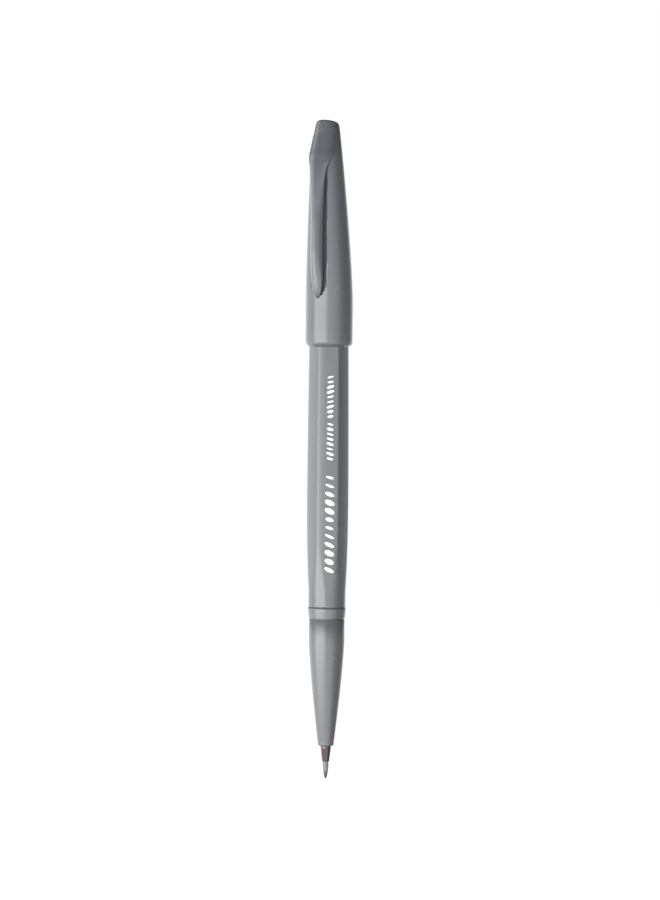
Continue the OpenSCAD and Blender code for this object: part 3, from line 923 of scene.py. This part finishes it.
def dab_tree():
    tree, given, made = new_geometry_tree("printed_dabs", print_inputs, ["Barrel"])
    known = {label: given.outputs[label] for label in print_inputs}
    start = add_node(tree, "ShaderNodeCombineXYZ", {"X": known["Side"], "Y": -7.0, "Z": known["Start"]})
    step = add_node(tree, "ShaderNodeCombineXYZ", {"Z": known["Pitch"]})
    line = add_node(tree, "GeometryNodeMeshLine",
                    {"Count": known["Count"], "Start Location": start.outputs["Vector"],
                     "Offset": step.outputs["Vector"]}, mode="OFFSET")
    index = add_node(tree, "GeometryNodeInputIndex")
    chance = add_node(tree, "FunctionNodeRandomValue", {"ID": index.outputs["Index"], "Seed": known["Seed"]},
                      data_type="FLOAT")
    known.update(index=index.outputs["Index"], random=chance.outputs[1])
    add_rule(tree, dab_rule, known)
    disc = add_node(tree, "GeometryNodeMeshCylinder", {"Vertices": 28, "Side Segments": 1, "Fill Segments": 3,
                                                       "Radius": 0.5, "Depth": known["Ink"]}, fill_type="NGON")
    upright = add_node(tree, "ShaderNodeCombineXYZ", {"X": math.pi / 2, "Y": known["slant"]})
    size = add_node(tree, "ShaderNodeCombineXYZ", {"X": known["width"], "Y": known["thickness"], "Z": 1.0})
    dabs = add_node(tree, "GeometryNodeInstanceOnPoints",
                    {"Points": line.outputs["Mesh"], "Instance": disc.outputs["Mesh"],
                     "Rotation": upright.outputs["Vector"], "Scale": size.outputs["Vector"]})
    real = add_node(tree, "GeometryNodeRealizeInstances", {"Geometry": dabs.outputs["Instances"]})
    place = add_node(tree, "GeometryNodeInputPosition")
    parts = add_node(tree, "ShaderNodeSeparateXYZ", {0: place.outputs["Position"]})
    barrel_info = add_node(tree, "GeometryNodeObjectInfo", {"Object": given.outputs["Barrel"]})
    from_front = add_node(tree, "ShaderNodeCombineXYZ", {"X": parts.outputs["X"], "Y": -7.0,
                                                         "Z": parts.outputs["Z"]})
    in_metres = add_node(tree, "ShaderNodeVectorMath", {0: from_front.outputs["Vector"], 1: (MM, MM, MM)},
                         operation="MULTIPLY")
    ray = add_node(tree, "GeometryNodeRaycast", {"Target Geometry": barrel_info.outputs["Geometry"],
                                                 "Source Position": in_metres.outputs["Vector"],
                                                 "Ray Direction": (0.0, 1.0, 0.0), "Ray Length": 7 * MM})
    hit = add_node(tree, "ShaderNodeVectorMath", {0: ray.outputs["Hit Position"], 1: (1 / MM, 1 / MM, 1 / MM)},
                   operation="MULTIPLY")
    hit_parts = add_node(tree, "ShaderNodeSeparateXYZ", {0: hit.outputs["Vector"]})
    film = add_node(tree, "ShaderNodeMath", {0: parts.outputs["Y"], 1: 7.0}, operation="ADD")
    laid_y = add_node(tree, "ShaderNodeMath", {0: hit_parts.outputs["Y"], 1: film.outputs["Value"]},
                      operation="ADD")
    point = add_node(tree, "ShaderNodeCombineXYZ", {"X": parts.outputs["X"], "Y": laid_y.outputs["Value"],
                                                    "Z": parts.outputs["Z"]})
    laid = add_node(tree, "GeometryNodeSetPosition", {"Geometry": real.outputs["Geometry"],
                                                      "Position": point.outputs["Vector"]})
    finished = add_node(tree, "GeometryNodeSetMaterial", {"Geometry": laid.outputs["Geometry"],
                                                          "Material": given.outputs["Material"]})
    tree.links.new(finished.outputs["Geometry"], made.inputs["Geometry"])
    return tree


dabs = dab_tree()
fine = dict(Pitch=1.2, Across=1.8, Thinnest=0.35, Thickest=0.65)
mark_rows = [dict(Start=51.2, Pitch=2.05, Count=12.0, Across=2.5, Thinnest=0.5, Thickest=1.25, Waves=2.0,
                  Slant=0.35),
             dict(fine, Start=78.3, Count=8.0, Waves=3.0, Slant=0.25, Seed=5.0),
             dict(fine, Start=88.6, Count=9.0, Waves=2.0, Slant=-0.25, Seed=8.0)]
bm = bmesh.new()
for row in mark_rows:
    bm.from_mesh(grow("printed_row", dabs, dict(print_inputs, **row, Barrel=barrel, Material=print_ink)))
printed = make_piece("printed_brush_dabs", bm, 60)

# %% [markdown]
# ## Finishes, bodies and the CAD nodes that stay
#
# Each new piece now gets its finish. The barrel, grip, holder, tail plug, cap and print also get the body that
# they move with, and the CAD nodes that the new pieces stand for are hidden. On the real pen the clip's arm
# turns about its root while its shoulder stays with the cap, and the brush nib bends where it leaves its holder;
# here both are only set in place, with no body and nothing that bends them. The ink store, its film and the
# sealing liner are shown as the CAD made them, because they are plain turned shapes deep inside, and only
# take a better finish.


# %% Finish and ride
def give(piece, material):
    piece.data.materials.clear()
    piece.data.materials.append(material)


rides = [(barrel, "pen", "barrel", "grey_plastic", body_plastic),
         (grip, "pen", "grip_section", "grey_plastic", body_plastic),
         (holder, "pen", "nib_holder", "dark_plastic", holder_plastic),
         (plug, "tail", "tail_plug", "grey_plastic", body_plastic),
         (cap, "cap", "cap_shell", "grey_plastic", cap_plastic)]
for piece, body, node, slot, material in rides:
    give(piece, material)
    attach(piece, body)
    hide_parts(node)

give(printed, print_ink)
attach(printed, "pen")

give(clip, cap_plastic)
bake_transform(clip)
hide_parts("clip")

give(nib, nib_fibre)
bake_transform(nib)
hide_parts("nib_shank", "brush_tip")

kept_nodes = {"reservoir_core": store_fibre, "reservoir_wrap": film_wrap, "inner_cap": liner_plastic}
for node, material in kept_nodes.items():
    give(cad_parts[node], material)
print("pieces:", [piece.name for piece, *rest in rides], "and", list(kept_nodes))

# %% [markdown]
# ## Floor, studio and camera
#
# The pen stands in a white studio. A wide soft light at the front left draws the bright band down the
# pen's left side, and a small one at the far left catches the edges of the shoulder and the crown. The rest
# of the room is a ring of cards, drawn as two colour ramps: one round the horizon, bright in front and dark
# at the right, and one over height, which keeps the cards in a low belt, so that the shoulder and the crown,
# which lean back, turn darker than the barrel. The camera sees plain white, and the floor is white too.

# %% World of cards
world = bpy.data.worlds.new("white_studio")
scene.world = world
world.use_nodes = True
cards = world.node_tree
cards.nodes.clear()
direction = add_node(cards, "ShaderNodeTexCoord")
sides = add_node(cards, "ShaderNodeSeparateXYZ", {0: direction.outputs["Generated"]})
to_camera = add_node(cards, "ShaderNodeMath", {0: sides.outputs["Y"], 1: -1.0}, operation="MULTIPLY")
bearing = add_node(cards, "ShaderNodeMath", {0: sides.outputs["X"], 1: to_camera.outputs["Value"]},
                   operation="ARCTAN2")
tilt = add_node(cards, "ShaderNodeMath", {0: sides.outputs["Z"]}, operation="ARCSINE")
# Bearing from the camera's side in degrees, to the right, and brightness of the card there
card_stops = [(-180, 0.34), (-140, 0.38), (-105, 0.50), (-80, 0.55), (-12, 0.60), (8, 0.70), (25, 0.62),
              (45, 0.46), (62, 0.17), (80, 0.11), (122, 0.12), (145, 0.32), (180, 0.34)]
# Elevation in degrees and share of the card's brightness there
belt_stops = [(-90, 0.05), (-46, 0.3), (-34, 0.9), (-10, 1.0), (2, 1.0), (6, 0.32), (10, 0.05), (90, 0.02)]
ramps = []
for angle, limit, stops in ((bearing, 180, card_stops), (tilt, 90, belt_stops)):
    edge = math.radians(limit)
    share = add_node(cards, "ShaderNodeMapRange", {"Value": angle.outputs["Value"], "From Min": -edge,
                                                   "From Max": edge})
    ramp = add_node(cards, "ShaderNodeValToRGB", {"Fac": share.outputs["Result"]})
    set_stops(ramp.color_ramp, [((degrees + limit) / (2 * limit), (v, v, v, 1.0)) for degrees, v in stops])
    ramps.append(ramp)
ring, belt = ramps
glow = add_node(cards, "ShaderNodeMath", {0: belt.outputs["Color"], 1: 5.9}, operation="MULTIPLY")
seen = add_node(cards, "ShaderNodeLightPath")
room = add_node(cards, "ShaderNodeBackground", {"Color": ring.outputs["Color"], "Strength": glow.outputs["Value"]})
paper = add_node(cards, "ShaderNodeBackground", {"Color": (1.0, 1.0, 1.0, 1.0), "Strength": 1.0})
both = add_node(cards, "ShaderNodeMixShader", {0: seen.outputs["Is Camera Ray"], 1: room.outputs["Background"],
                                               2: paper.outputs["Background"]})
add_node(cards, "ShaderNodeOutputWorld", {"Surface": both.outputs["Shader"]})
print("cards round the pen:", len(card_stops))

# %% Soft light, floor and camera
middle = Vector((0, 0, 0.0803))


def soft_light(name, bearing_deg, far, rise, width, tall, energy):
    """An area light that looks at the middle of the pen and that the camera does not see. Metres and watts."""
    data = bpy.data.lights.new(name, "AREA")
    data.shape = "RECTANGLE"
    data.size, data.size_y, data.energy = width, tall, energy
    light = bpy.data.objects.new(name, data)
    scene.collection.objects.link(light)
    turn = math.radians(bearing_deg)
    light.location = middle + Vector((math.sin(turn) * far, -math.cos(turn) * far, rise))
    light.rotation_euler = (middle - light.location).to_track_quat("-Z", "Y").to_euler()
    light.visible_camera = False


soft_light("soft_key", -44, 0.6, -0.06, 0.78, 0.32, 4.7)
soft_light("soft_side", -108, 0.7, 0.26, 0.42, 0.26, 0.9)

floor_bm = bmesh.new()
bmesh.ops.create_circle(floor_bm, cap_ends=True, segments=64, radius=700)
floor = make_piece("studio_floor", floor_bm)
floor.location.z = -0.05 * MM
for ray in ("diffuse", "glossy", "transmission", "shadow"):
    setattr(floor, "visible_" + ray, False)
floor_material, floor_tree, floor_shader = new_material("white studio floor", Roughness=0.9, Specular_IOR_Level=0.1)
paper_grain = scaled_noise(floor_tree, 4.0, 4.0, 2.0)
paper_tone = add_node(floor_tree, "ShaderNodeMapRange", {"Value": paper_grain, "To Min": 0.5, "To Max": 0.55})
path = add_node(floor_tree, "ShaderNodeLightPath")
floor_shader.inputs["Emission Color"].default_value = (1.0, 1.0, 1.0, 1.0)
drive(floor_tree, floor_shader, {"Base Color": paper_tone.outputs["Result"],
                                 "Emission Strength": path.outputs["Is Camera Ray"]})
give(floor, floor_material)
floor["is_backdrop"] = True

camera_data = bpy.data.cameras.new("camera")
camera = bpy.data.objects.new("camera", camera_data)
scene.collection.objects.link(camera)
scene.camera = camera
camera_far = 1.0
field_tall = 900 / 4.095 * MM
roll_deg = 0.47
camera_data.sensor_width = 36.0
camera_data.lens = camera_data.sensor_width * camera_far / field_tall
camera_data.clip_end = 20
aim = Vector((0.45 * MM, 0, 0.08035))
eye = Vector((aim.x, -camera_far, 0.105))
look = (aim - eye).to_track_quat("-Z", "Y").to_matrix().to_4x4()
camera.matrix_world = Matrix.Translation(eye) @ look @ Matrix.Rotation(math.radians(roll_deg), 4, "Z")
scene.view_settings.view_transform = "Standard"
print("camera:", [round(v, 3) for v in eye], "lens", round(camera_data.lens, 1))

# %% Print the sizes and finish
boxes = {"cad": [list(corner) for corner in cad_box], "visual": [list(corner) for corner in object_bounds()]}
for name, corners in boxes.items():
    print(name, [round(v / MM, 2) for corner in corners for v in corner])
